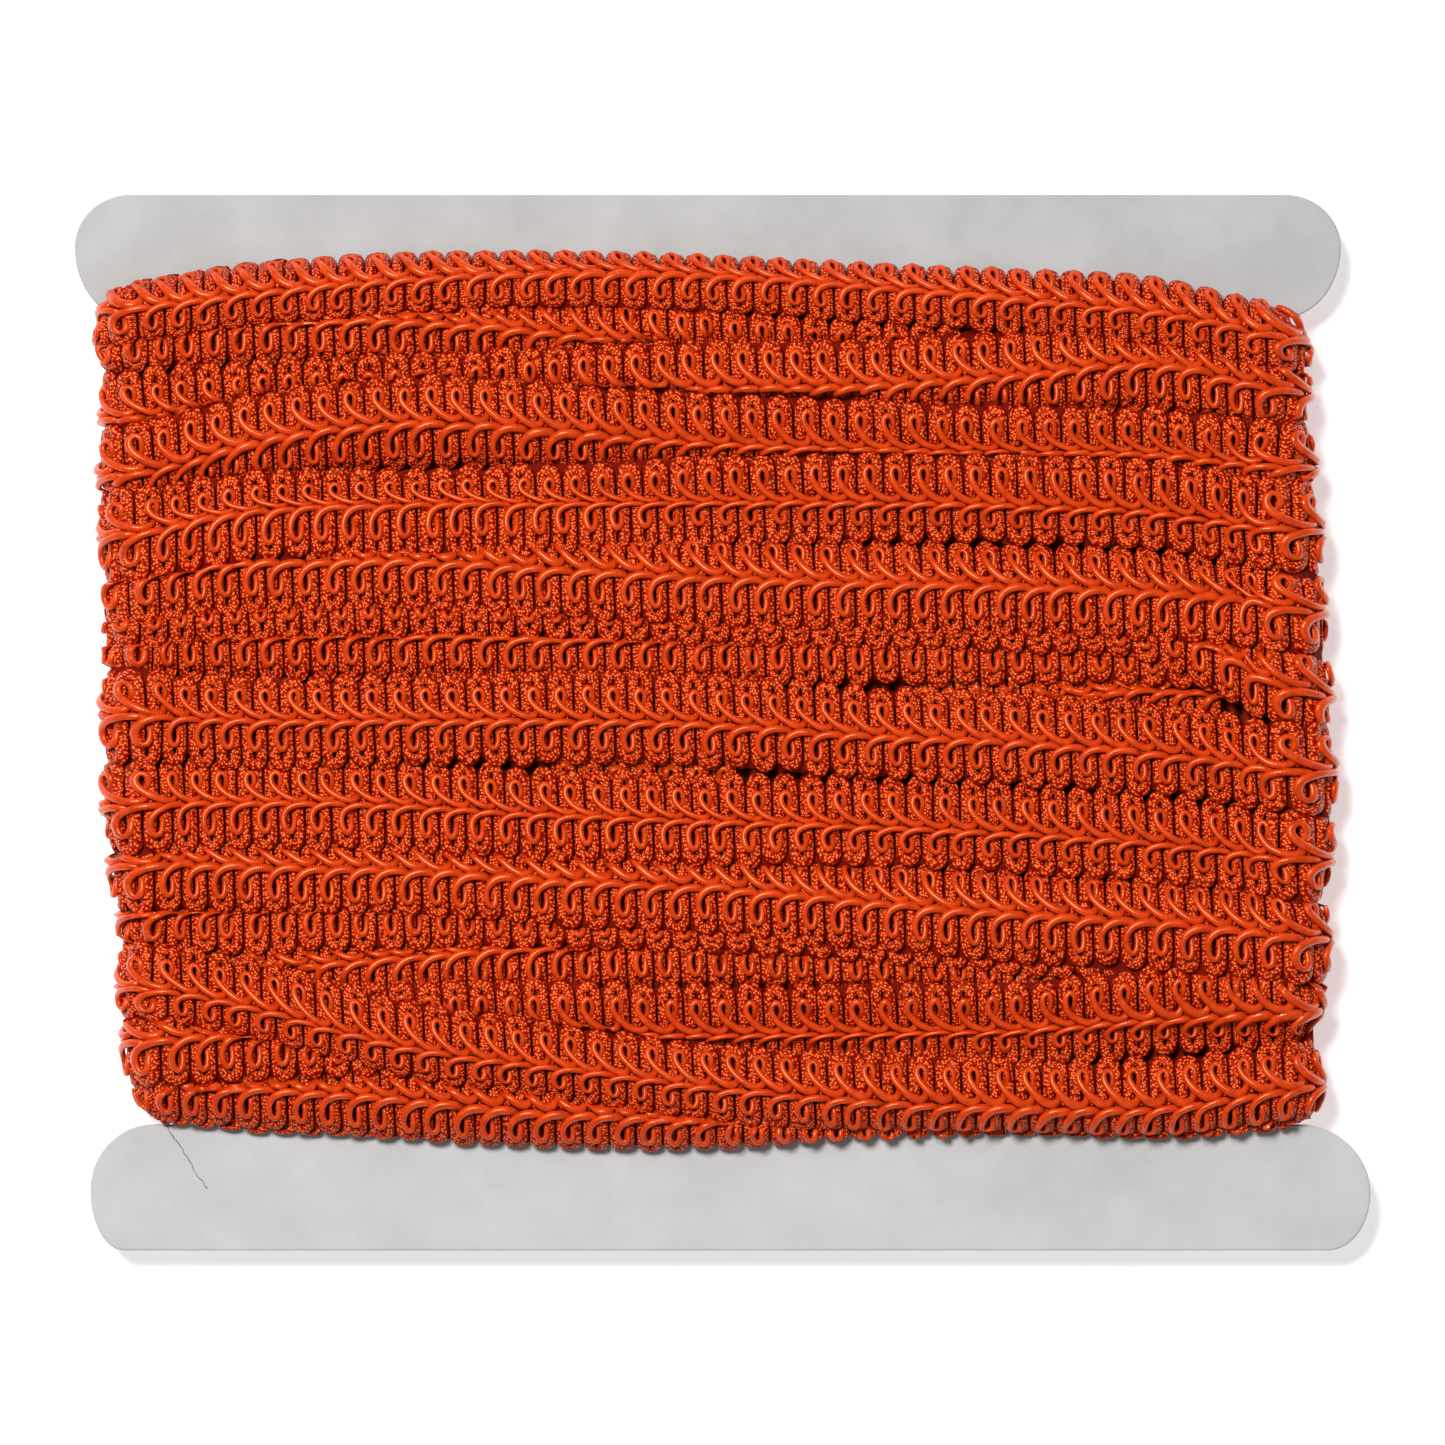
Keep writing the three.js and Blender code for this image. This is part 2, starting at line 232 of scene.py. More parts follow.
# How much a border of the braid is drawn in or let out to end at the winding's edge, from its half width
# and the room there: half / room where that is over tight, easing to 1 where it is under free
border = dict(tight=0.8, free=0.62)


def borderScale(room):
    ratio = halfWidth / np.maximum(room, 1.0)
    ease = np.clip((ratio - border["free"]) / (border["tight"] - border["free"]), 0, 1)
    return np.where(ratio > border["tight"], ratio, mix(1, border["tight"], ease))


# Lays the courses one by one on a height map of route by card height. A course drapes on the smoothed
# pile, sinks into it, and its width is measured as arc length along the drape. Near the winding's edge
# the drape is no higher than foot + slope inside + swell (inside - swell's start)^2, so that it falls to
# the card.
def layCourses(q, y):
    edges = windingEdges(q)
    top, bottom = edges["top"][:, None], edges["bottom"][:, None]
    inside = np.minimum(top - y, y - bottom)
    side = np.sin(turnAngle(q))[:, None]
    start, step = underPile["start"], underPile["step"]
    leftSlack, rightSlack = (tableLine(underPile[end], y, start, step) for end in ("left", "right"))
    slack = np.where(side < 0, leftSlack, rightSlack)
    plain = np.maximum(tableLine(underPile["values"], y, start, step) + slack * np.abs(side), 0)
    pile = plain * quarterRound(inside, edges["shoulder"][:, None])
    firstPile = pile.copy()
    within = np.maximum(inside, 0)
    swell = winding["edgeSwell"] * np.maximum(within - winding["swellFrom"], 0) ** 2
    limit = winding["edgeFoot"] + winding["edgeSlope"] * within + swell
    core = np.minimum(pile, limit) - mix(inner["depth"], inner["depthAtTurn"], np.abs(side))
    raisedShadeMask = np.zeros(pile.shape)
    overFlange = (y > edges["notchTop"]) | (y < edges["notchBottom"])
    foot = np.where(overFlange, edges["foot"][:, None], 0.0)
    across = np.linspace(-halfWidth - braid["spare"], halfWidth + braid["spare"], braid["lines"])
    order = sorted([(each[0], index) for index, each in enumerate(courses)] + [(0, -1)])
    order = [(-1, len(courses) + i) for i in range(len(sunkenCourses))] + order
    laidCourses = {}
    for laid, index in order:
        middle = courseMiddle(index, q)
        inset = winding["middleInset"]
        middle = np.clip(middle, edges["bottom"] + inset, edges["top"] - inset)
        present = np.ones_like(q, bool)
        if index < 0:
            present = q >= turnCentre + turnLength
        elif laid < 0:
            present = np.abs(q) < turnCentre
        drape = smoothed(pile, winding["drapeReach"], winding["fineStep"])
        depth = winding["sink"] + winding["evening"] * np.maximum(drape - winding["evenHeight"], 0)
        drape = np.maximum(drape - depth, pile - depth - winding["nesting"])
        if laid < 0:
            drape = firstPile - winding["sunkenDepth"]
        drape = np.maximum(np.minimum(drape, limit), foot)
        arc = np.cumsum(np.hypot(winding["fineStep"], np.diff(drape, axis=1, prepend=drape[:, :1])), axis=1)
        arcAt = lambda line: np.array([np.interp(m, y, a) for m, a in zip(line, arc)])[:, None]
        place = arc - arcAt(middle)
        above, below = arcAt(edges["top"]) - arcAt(middle), arcAt(middle) - arcAt(edges["bottom"])
        lowerShare = courses[index][1] if 0 <= index < len(courses) else 1.0
        lowerScale = borderScale(below) if lowerShare == 1 else np.maximum(borderScale(below), 1 / lowerShare)
        place *= np.where(place > 0, borderScale(above), lowerScale)
        covers = (np.abs(place) < halfWidth) & present[:, None]
        profile = np.sqrt(np.clip(1 - (place / halfWidth) ** 2, 0, 1))
        if laid >= 0:
            thickness = mix(braid["edge"], braid["crown"], profile)
            pile = np.where(covers, np.maximum(pile, drape + thickness), pile)
            under = (np.abs(place) < halfWidth - inner["border"]) & present[:, None]
            core = np.where(under, drape + inner["rise"], core)
            # Marks where the inner pile rises close under a course; its material paints a lighter, even
            # painted shade there.
            raisedShadeMask = np.where(under, 1, raisedShadeMask)
        acrossY = np.array([np.interp(across, a, y) for a in place])
        acrossH = np.array([np.interp(line, y, d) for line, d in zip(acrossY, drape)])
        laidCourses[index] = dict(y=acrossY, h=acrossH, drape=drape, covers=covers & (laid >= 0))
    return edges, laidCourses, core, raisedShadeMask, across, [index for _, index in order]


q = np.arange(routeStart, routeEnd + winding["stationStep"] / 2, winding["stationStep"])
q = np.linspace(routeStart, routeEnd, len(q))
fineY = winding["fineStart"] + winding["fineStep"] * np.arange(winding["fineCount"])
edges, laidCourses, core, raisedShadeMask, across, order = layCourses(q, fineY)

# From the last course down: how high each course may rise under those laid over it
cover = np.full(core.shape, np.inf)
for index in reversed(order):
    course = laidCourses[index]
    column = np.clip(np.round((course["y"] - fineY[0]) / winding["fineStep"]).astype(int), 0, len(fineY) - 1)
    course["room"] = np.take_along_axis(cover, column, axis=1) - course["h"]
    cover = np.where(course["covers"], np.minimum(cover, course["drape"]), cover)
print("courses laid:", len(courses))


# The braid is one length: its route is all courses end to end. Heights are eased into each other where
# one course passes into the next, at the back of the left turn.
def joinedRoute():
    indices = range(-1, len(courses) + len(sunkenCourses))
    parts = {key: [laidCourses[i][key] for i in indices] for key in ("y", "h", "room")}
    ease = int(round(winding["joinReach"] / winding["stationStep"]))
    fade = 0.5 * (1 + np.cos(np.pi * np.arange(ease) / ease))
    for key in ("y", "h"):
        for before, after in zip(parts[key][:-1], parts[key][1:]):
            step = (after[0] - before[-1]) / 2
            after[:ease] -= step * fade[:, None]
            before[-ease:] += step * fade[::-1, None]
    y, h, room = (np.concatenate([part[:-1] for part in parts[key]]) for key in ("y", "h", "room"))
    routeQ = np.tile(q[:-1], len(indices))
    h = smoothed(h.T, 2 * winding["stationStep"], winding["stationStep"]).T
    top = np.tile(edges["top"][:-1], len(indices))
    bottom = np.tile(edges["bottom"][:-1], len(indices))
    y = np.clip(y, bottom[:, None], top[:, None])
    onBack = np.abs(turnAngle(routeQ)) > np.pi / 2
    h = np.where(onBack[:, None], np.minimum(h, winding["restDepth"] - winding["cordsOnBack"]), h)
    h = np.maximum(h, 0.12)
    return routeQ, y, h, room


routeQ, routeY, routeH, routeRoom = joinedRoute()
routePlace = windingPoint(routeQ[:, None], routeY, routeH)
alongVector = np.gradient(routePlace, axis=0)
acrossVector = np.gradient(routePlace, axis=1)
routeNormal = np.cross(alongVector, acrossVector)
routeNormal /= np.maximum(np.linalg.norm(routeNormal, axis=-1, keepdims=True), 1e-9)
routeFlat = np.broadcast_to(np.abs(np.cos(turnAngle(routeQ)))[:, None], routeY.shape)
stationLength = routeLength / (len(q) - 1)


def lookUp(field, s, v):
    i = np.clip(s / stationLength, 0, len(routeQ) - 1.001)
    j = np.clip((v - across[0]) / (across[1] - across[0]), 0, len(across) - 1.001)
    i0, j0 = i.astype(int), j.astype(int)
    a, b = i - i0, j - j0
    if field.ndim == 3:
        a, b = a[..., None], b[..., None]
    return ((1 - a) * (1 - b) * field[i0, j0] + a * (1 - b) * field[i0 + 1, j0]
            + (1 - a) * b * field[i0, j0 + 1] + a * b * field[i0 + 1, j0 + 1])


# Puts braid places on the winding: s along the braid, v across it, w over its underside, in millimetres.
# Place = route(s, v) + normal(s, v) (w + arch (1 - (v / half)^2)), with less arch and a smaller w where
# the braid is drawn tight round a turn. Under the courses laid over it w is pressed to
# w / (1 + (w / room)^4)^(1/4)
def ontoWinding(s, v, w):
    place = lookUp(routePlace, s, v)
    normal = lookUp(routeNormal, s, v)
    normal /= np.linalg.norm(normal, axis=-1, keepdims=True)
    room = lookUp(np.clip(routeRoom - winding["pressed"], 0.15, 12), s, v)
    flat = lookUp(routeFlat, s, v)
    arch = braid["arch"] * mix(winding["archAtTurn"], 1, flat)
    w = w * mix(winding["thinAtTurn"], 1, flat) + arch * (1 - np.minimum((v / halfWidth) ** 2, 1))
    w = w / (1 + (np.maximum(w, 0) / room) ** 4) ** 0.25
    place = place + normal * w[..., None]
    place[..., 2] = np.maximum(place[..., 2], 0)
    return place


# Pitches of the braid that no later course covers all over
pitchCount = int(len(routeQ) * stationLength / braid["pitch"]) - 1
openStations = (routeRoom > winding["seenRoom"]).any(axis=1)
stationPitch = (np.arange(len(routeQ)) * stationLength / braid["pitch"]).astype(int)
stationPitch = np.minimum(stationPitch, pitchCount - 1)
shows = np.zeros(pitchCount, bool)
np.logical_or.at(shows, stationPitch, openStations)
shows = shows | np.roll(shows, 1) | np.roll(shows, -1)
firstShown = turnCentre + turnLength - routeStart + winding["hiddenStart"]
shows[:int(firstShown / braid["pitch"])] = False
isSunken = np.arange(len(routeQ)) // (len(q) - 1) > len(courses)
faceOnly = isSunken & (np.abs(routeQ) > turnCentre - winding["faceMargin"])
shows[np.unique(stationPitch[faceOnly])] = False
print("pitches that show:", int(shows.sum()), "of", pitchCount)


# The ground is one thick chain-stitched cord laid in close scallops across the braid: legs side by side,
# joined by a round tip at each edge. Sizes in millimetres, in braid space: s along, v across, w up.
groundCord = dict(
    halfWide=0.79, halfThick=0.65, height=0.65, legAtMiddle=0.94, legAtTip=0.94, tipStart=4.70, tipLong=1.13,
    legPlaces=(0.0, 1.6, 3.3), tipRings=8, sides=7, backLegPlaces=(0.0, 2.6), backTipRings=5, backSides=6,
    reachSpread=0.10, leanSpread=0.06, shiftAcross=0.4, longWave=49.0, shortWave=20.0,
)

# The gimp is a smooth wrapped cord in loops that lie on the ground. Middle line of one loop, from its end
# at the middle of the braid round its tip and down through the ground: along in pitches from the
# scallop's middle, across and up in millimetres, radius in millimetres
gimpCord = dict(
    rings=21, sides=6, backRings=11, backSides=5, alongSpread=0.035, acrossSpread=0.10, upSpread=0.06,
    lowerLoop=[
        (1.07, -0.66, 0.85, 0.45), (1.00, -0.42, 1.25, 0.51), (0.87, -0.30, 1.60, 0.55),
        (0.65, -0.28, 1.78, 0.56), (0.37, -0.40, 1.83, 0.56), (0.10, -0.82, 1.82, 0.54),
        (-0.10, -1.45, 1.77, 0.50), (-0.20, -2.25, 1.71, 0.46), (-0.215, -3.05, 1.66, 0.44),
        (-0.14, -3.90, 1.61, 0.42), (0.0, -4.28, 1.57, 0.41), (0.13, -3.90, 1.49, 0.40),
        (0.17, -3.05, 1.32, 0.37), (0.16, -2.25, 1.06, 0.37), (0.12, -1.50, 0.70, 0.37),
    ],
    upperLoop=[
        (1.11, 1.40, 0.70, 0.45), (1.10, 0.98, 1.14, 0.49), (1.01, 0.58, 1.50, 0.52),
        (0.82, 0.35, 1.72, 0.55), (0.58, 0.54, 1.81, 0.55), (0.34, 1.02, 1.83, 0.54),
        (0.12, 1.62, 1.81, 0.51), (-0.06, 2.34, 1.77, 0.48), (-0.175, 3.16, 1.71, 0.45),
        (-0.16, 4.02, 1.64, 0.41), (0.0, 4.50, 1.58, 0.39), (0.15, 4.06, 1.50, 0.37),
        (0.175, 3.26, 1.30, 0.36), (0.13, 2.55, 1.00, 0.36), (0.06, 1.90, 0.60, 0.36),
    ],
)


# A mesh from whole arrays: corners of the faces in order, how many each face has, and one UV pair for each
def meshObject(name, points, faces, sizes, uv=None):
    mesh = bpy.data.meshes.new(name)
    mesh.vertices.add(len(points))
    mesh.vertices.foreach_set("co", (points * mm).astype(np.float32).ravel())
    mesh.loops.add(len(faces))
    mesh.loops.foreach_set("vertex_index", faces.astype(np.int32))
    mesh.polygons.add(len(sizes))
    mesh.polygons.foreach_set("loop_start", np.concatenate([[0], np.cumsum(sizes)[:-1]]).astype(np.int32))
    mesh.polygons.foreach_set("loop_total", sizes.astype(np.int32))
    mesh.polygons.foreach_set("use_smooth", sizes == 4)
    if uv is not None:
        mesh.uv_layers.new(name="cord").data.foreach_set("uv", uv.astype(np.float32).ravel())
    mesh.update(calc_edges=True)
    mesh.validate()
    piece = bpy.data.objects.new(name, mesh)
    bpy.context.scene.collection.objects.link(piece)
    return piece


# Tubes round middle lines in braid space, one for each row of lines, with flat ends.
# ring = middle + wide cos(a) n + thick sin(a) b, n square to the line in the braid's plane, b = t x n
def tubes(lines, wide, thick, sides):
    count, rings, _ = lines.shape
    tangent = np.gradient(lines, axis=1)
    tangent /= np.linalg.norm(tangent, axis=-1, keepdims=True)
    n = np.stack([-tangent[..., 1], tangent[..., 0], np.zeros((count, rings))], axis=-1)
    n /= np.maximum(np.linalg.norm(n, axis=-1, keepdims=True), 1e-6)
    b = np.cross(tangent, n)
    angle = 2 * np.pi * np.arange(sides) / sides + np.pi / 2
    spread = (np.ones(rings) * wide)[:, None, None] * np.cos(angle)[:, None] * n[:, :, None]
    spread = spread + (np.ones(rings) * thick)[:, None, None] * np.sin(angle)[:, None] * b[:, :, None]
    steps = np.linalg.norm(np.diff(lines, axis=1), axis=-1)
    length = np.concatenate([np.zeros((count, 1)), np.cumsum(steps, axis=1)], axis=1) + lines[:, :1, 0]
    index = np.arange(count * rings * sides).reshape(count, rings, sides)
    beside = np.roll(index, -1, axis=2)
    quads = np.stack([index[:, :-1], beside[:, :-1], beside[:, 1:], index[:, 1:]], axis=-1)
    u0, u1 = (np.repeat(part[:, :, None], sides, axis=2) for part in (length[:, :-1], length[:, 1:]))
    v0 = np.broadcast_to(np.arange(sides) / sides, u0.shape)
    uv = np.stack([u0, v0, u0, v0 + 1 / sides, u1, v0 + 1 / sides, u1, v0], axis=-1)
    caps = np.concatenate([index[:, 0, ::-1], index[:, -1]])
    return (lines[:, :, None] + spread).reshape(-1, 3), quads.reshape(-1, 4), uv.reshape(-1, 2), caps


# Joins sets of tubes into one object laid on the winding.
def cordPiece(name, parts):
    points, faces, sizes, uv, offset = [], [], [], [], 0
    for place, quads, quadUv, caps in parts:
        points.append(ontoWinding(place[:, 0], place[:, 1], place[:, 2]))
        for polygons, corners in ((quads, quadUv), (caps, np.zeros((caps.size, 2)))):
            faces.append(polygons.ravel() + offset)
            sizes.append(np.full(len(polygons), polygons.shape[1]))
            uv.append(corners)
        offset += len(place)
    return meshObject(name, *(np.concatenate(part) for part in (points, faces, sizes, uv)))


random = np.random.default_rng(11)
spreads = random.normal(0, 1, (2, pitchCount + 1, 6)).clip(-2, 2)


# Scallops of the ground on one side of the braid (+1 upper, -1 lower) at the given pitches: up a leg, round
# the tip and down the next leg. s = middle -+ leg(v), then middle + r cos(t), v = tipStart + tipLong sin(t)
def scallops(k, side, back):
    places = np.array(groundCord["backLegPlaces" if back else "legPlaces"])
    turn = np.linspace(math.pi, 0, groundCord["backTipRings" if back else "tipRings"])
    radius, start = groundCord["legAtTip"], groundCord["tipStart"]
    leg = mix(groundCord["legAtMiddle"], radius, places / start)
    along = np.concatenate([-leg, radius * np.cos(turn), leg[::-1]])
    up = np.concatenate([places, start + groundCord["tipLong"] * np.sin(turn), places[::-1]])
    spread = spreads[int(side > 0), k]
    tip = (up / start) ** 3
    s = (k[:, None] + (0.0 if side > 0 else 0.5)) * braid["pitch"] + along
    s = s + groundCord["leanSpread"] * spread[:, :1] * tip
    v = side * (up + groundCord["reachSpread"] * spread[:, 1:2] * tip)
    waves = np.sin(s / groundCord["longWave"] + 1) + 0.6 * np.sin(s / groundCord["shortWave"])
    v = v + groundCord["shiftAcross"] * waves * np.abs(v) / halfWidth
    line = np.stack([s, v, np.full(s.shape, groundCord["height"])], axis=-1)
    if side < 0:
        line = line[:, ::-1]
    sides = groundCord["backSides" if back else "sides"]
    return tubes(line, groundCord["halfWide"], groundCord["halfThick"], sides)


# Loops of the gimp on one side of the braid at the given pitches
def loops(k, side, back):
    table = np.array(gimpCord["upperLoop" if side > 0 else "lowerLoop"])
    place = np.linspace(0, len(table) - 1, gimpCord["backRings" if back else "rings"])
    along, across, up, radius = (tableLine(column, place, 0, 1) for column in table.T)
    spread = spreads[int(side > 0), k]
    weight = np.sin(np.pi * np.linspace(0.1, 1, len(place)))
    along = along + gimpCord["alongSpread"] * (spread[:, 2:3] + spread[:, 3:4] * weight)
    v = across + gimpCord["acrossSpread"] * spread[:, 4:5] * weight
    w = up + gimpCord["upSpread"] * spread[:, 5:6] * weight
    s = (k[:, None] + (0.0 if side > 0 else 0.5) + along) * braid["pitch"]
    return tubes(np.stack([s, v, w], axis=-1), radius, radius, gimpCord["backSides" if back else "sides"])


# Pitches where the half of the braid above (+1) or below (-1) its middle line shows
def halfShows(side):
    bare = (routeRoom > winding["seenRoom"]) & (side * across > winding["middleBand"])
    result = np.zeros(pitchCount, bool)
    np.logical_or.at(result, stationPitch, bare.any(axis=1))
    return (result | np.roll(result, 1) | np.roll(result, -1)) & shows


pitchStation = ((np.arange(pitchCount) + 0.5) * braid["pitch"] / stationLength).astype(int)
pitchStation = np.minimum(pitchStation, len(routeQ) - 1)
onBack = np.abs(turnAngle(routeQ[pitchStation])) > math.radians(winding["backFrom"])
showing = {1: halfShows(1), -1: halfShows(-1)}
sections = dict(Upper=(0, 6), Middle=(6, 12), Lower=(12, 25))
groundPieces, gimpPieces = [], []
for sectionName, (first, last) in sections.items():
    inSection = np.zeros(pitchCount, bool)
    inSection[int(first * routeLength / braid["pitch"]):int(last * routeLength / braid["pitch"])] = True
    chosen = [(np.flatnonzero(showing[side] & inSection & (onBack == back)), side, back)
              for side in (1, -1) for back in (False, True)]
    groundPieces.append(cordPiece("groundCord" + sectionName, [scallops(*each) for each in chosen]))
    gimpPieces.append(cordPiece("gimpCord" + sectionName, [loops(*each) for each in chosen]))
    for piece in (groundPieces[-1], gimpPieces[-1]):
        print(piece.name, "triangles", sum(len(p.vertices) - 2 for p in piece.data.polygons))


# The closed body of wound braid under the courses that show: one height for each fine line of each
# station, closed by a line along the card
def makeCore():
    inset = mix(inner["insetAtTurn"], inner["inset"], edges["share"])
    top, bottom = edges["top"] - inset, edges["bottom"] + inset
    y = bottom[:, None] + (top - bottom)[:, None] * np.linspace(0, 1, inner["lines"])
    height = np.array([np.interp(line, fineY, h) for line, h in zip(y, core)])
    lit = np.array([np.interp(line, fineY, h) for line, h in zip(y, raisedShadeMask)])
    height = np.maximum(height, (edges["foot"] + 0.2)[:, None])
    onBack = np.abs(turnAngle(q)) > np.pi / 2
    restLimit = winding["restDepth"] - winding["cordsOnBack"] + inner["rise"]
    height = np.where(onBack[:, None], np.minimum(height, restLimit), height)
    innerTop, innerBottom = np.minimum(edges["notchTop"], top), np.maximum(edges["notchBottom"], bottom)
    sideY = np.stack([top, innerTop, innerTop, innerBottom, innerBottom, bottom], axis=1)
    gap, foot = np.full(len(q), winding["gap"]), edges["foot"]
    sideH = np.stack([foot, foot + 0.01, gap, gap, foot + 0.01, foot], axis=1)  # never a face of no area
    y, height = np.concatenate([y, sideY], axis=1)[:-1], np.concatenate([height, sideH], axis=1)[:-1]
    lit = np.concatenate([lit, np.zeros(sideY.shape)], axis=1)[:-1]
    points = windingPoint(q[:-1, None], y, height)
    index = np.arange(points[..., 0].size).reshape(points.shape[:2])
    following = np.roll(index, -1, axis=0)
    faces = np.stack([index, following, np.roll(following, -1, axis=1), np.roll(index, -1, axis=1)], axis=-1)
    piece = meshObject("innerPile", points.reshape(-1, 3), faces.ravel(), np.full(faces.size // 4, 4))
    # The mask that picks the inner pile's lighter painted shade, kept on its points.
    attribute = piece.data.attributes.new("raisedShadeMask", "FLOAT", "POINT")
    attribute.data.foreach_set("value", lit.astype(np.float32).ravel())
    return piece


innerPile = makeCore()
print("inner pile made")


# sRGB hex to the linear colour that shaders take
def linear(code):
    parts = [int(code[i:i + 2], 16) / 255 for i in (1, 3, 5)]
    return tuple(c / 12.92 if c <= 0.04045 else ((c + 0.055) / 1.055) ** 2.4 for c in parts) + (1.0,)


def newMaterial(name):
    material = bpy.data.materials.new(name)
    material.use_nodes = True
    material.node_tree.nodes.clear()
    return material, material.node_tree


# Adds a node with its settings, input values and links, given as name or number of the input.
def addNode(tree, kind, settings=None, **inputs):
    node = tree.nodes.new(kind)
    for key, value in (settings or {}).items():
        setattr(node, key, value)
    for key, value in inputs.items():
        numbered = key[0] == "i" and key[1:].isdigit()
        socket = node.inputs[int(key[1:]) if numbered else key.replace("_", " ")]
        if isinstance(value, bpy.types.NodeSocket):
            tree.links.new(value, socket)
        else:
            socket.default_value = value
    return node


def setRamp(node, stops):
    elements = node.color_ramp.elements
    for place, colour in stops[len(elements):]:
        elements.new(place)
    for element, (place, colour) in zip(elements, stops):
        element.position = place
        element.color = linear(colour)


# Chain-stitched rayon cord, loosely knitted round: rows of small slanting stitches, each a bulge of filaments
# with a gap round it. The stitches are the cord's own pattern; its colour paints a bright painted glint on
# each bulge and painted shade in the gap round it, so it glitters under soft light.
stitch = dict(length=0.44, around=9.5, depth=0.16)


def chainStitchedCord():
    material, tree = newMaterial("chain stitched rayon cord")
    uv = addNode(tree, "ShaderNodeUVMap", dict(uv_map="cord"))
    scale = addNode(tree, "ShaderNodeVectorMath", dict(operation="MULTIPLY"), i0=uv.outputs[0],
                    i1=(1 / stitch["length"], stitch["around"], 1.0))
    cells = addNode(tree, "ShaderNodeTexVoronoi", dict(voronoi_dimensions="2D"), Vector=scale.outputs[0],
                    Scale=1.0, Randomness=0.8)
    ramp = addNode(tree, "ShaderNodeValToRGB", Fac=cells.outputs["Distance"])
    # The ramp's bright stops are painted highlights (glints) on the stitches, its dark stops painted shade in
    # the gaps round them.
    setRamp(ramp, [(0.10, "#FF9654"), (0.25, "#D8380A"), (0.46, "#961200"), (0.78, "#680000")])
    height = addNode(tree, "ShaderNodeMath", dict(operation="MULTIPLY"),
                     i0=cells.outputs["Distance"], i1=-1.0)
    bump = addNode(tree, "ShaderNodeBump", Strength=0.8, Distance=stitch["depth"] * mm,
                   Height=height.outputs[0])
    shader = addNode(tree, "ShaderNodeBsdfPrincipled", Base_Color=ramp.outputs[0], Roughness=0.42,
                     Normal=bump.outputs[0], Specular_IOR_Level=0.6, Specular_Tint=linear("#FF9048"),
                     Subsurface_Weight=0.16, Subsurface_Radius=(1.0, 0.12, 0.05), Subsurface_Scale=0.0006)
    addNode(tree, "ShaderNodeOutputMaterial", Surface=shader.outputs[0])
    return material


# Gimp: rayon thread wrapped closely round a core, so its smooth lustre runs along the cord and breaks
# into fine slanting wraps: height = sin(2 pi (length / wrap length + turn round the cord)).
wrapping = dict(length=0.30, depth=0.04, patches=1.11)


def wrappedGimp():
    material, tree = newMaterial("rayon wrapped gimp cord")
    uv = addNode(tree, "ShaderNodeUVMap", dict(uv_map="cord"))
    split = addNode(tree, "ShaderNodeSeparateXYZ", Vector=uv.outputs[0])
    slant = addNode(tree, "ShaderNodeMath", dict(operation="MULTIPLY_ADD"), i0=split.outputs[0],
                    i1=1 / wrapping["length"], i2=split.outputs[1])
    angle = addNode(tree, "ShaderNodeMath", dict(operation="MULTIPLY"), i0=slant.outputs[0], i1=2 * math.pi)
    wrap = addNode(tree, "ShaderNodeMath", dict(operation="SINE"), i0=angle.outputs[0])
    place = addNode(tree, "ShaderNodeTexCoord")
    patches = addNode(tree, "ShaderNodeTexNoise", Vector=place.outputs["Object"],
                      Scale=1 / (wrapping["patches"] * mm), Detail=2.0)
    ramp = addNode(tree, "ShaderNodeValToRGB", Fac=patches.outputs[0])
    setRamp(ramp, [(0.3, "#B83005"), (0.7, "#DA420D")])
    bump = addNode(tree, "ShaderNodeBump", Strength=0.14, Distance=wrapping["depth"] * mm,
                   Height=wrap.outputs[0])
    shader = addNode(tree, "ShaderNodeBsdfPrincipled", Base_Color=ramp.outputs[0], Roughness=0.27,
                     Normal=bump.outputs[0], Specular_IOR_Level=1.0, Specular_Tint=linear("#FFB07C"),
                     Subsurface_Weight=0.06, Subsurface_Radius=(1.0, 0.12, 0.05), Subsurface_Scale=0.0006)
    addNode(tree, "ShaderNodeOutputMaterial", Surface=shader.outputs[0])
    return material


# Buried braid, seen only down the gaps between scallops: the same rayon, its colour painted dark as painted
# shade, its scallops' legs a row of ribs half a pitch apart. Where it lies close under a course it has one
# even dark red, a painted shade less deep than in the gaps.
buried = dict(tuft=0.71, depth=0.6, ribs=0.2)


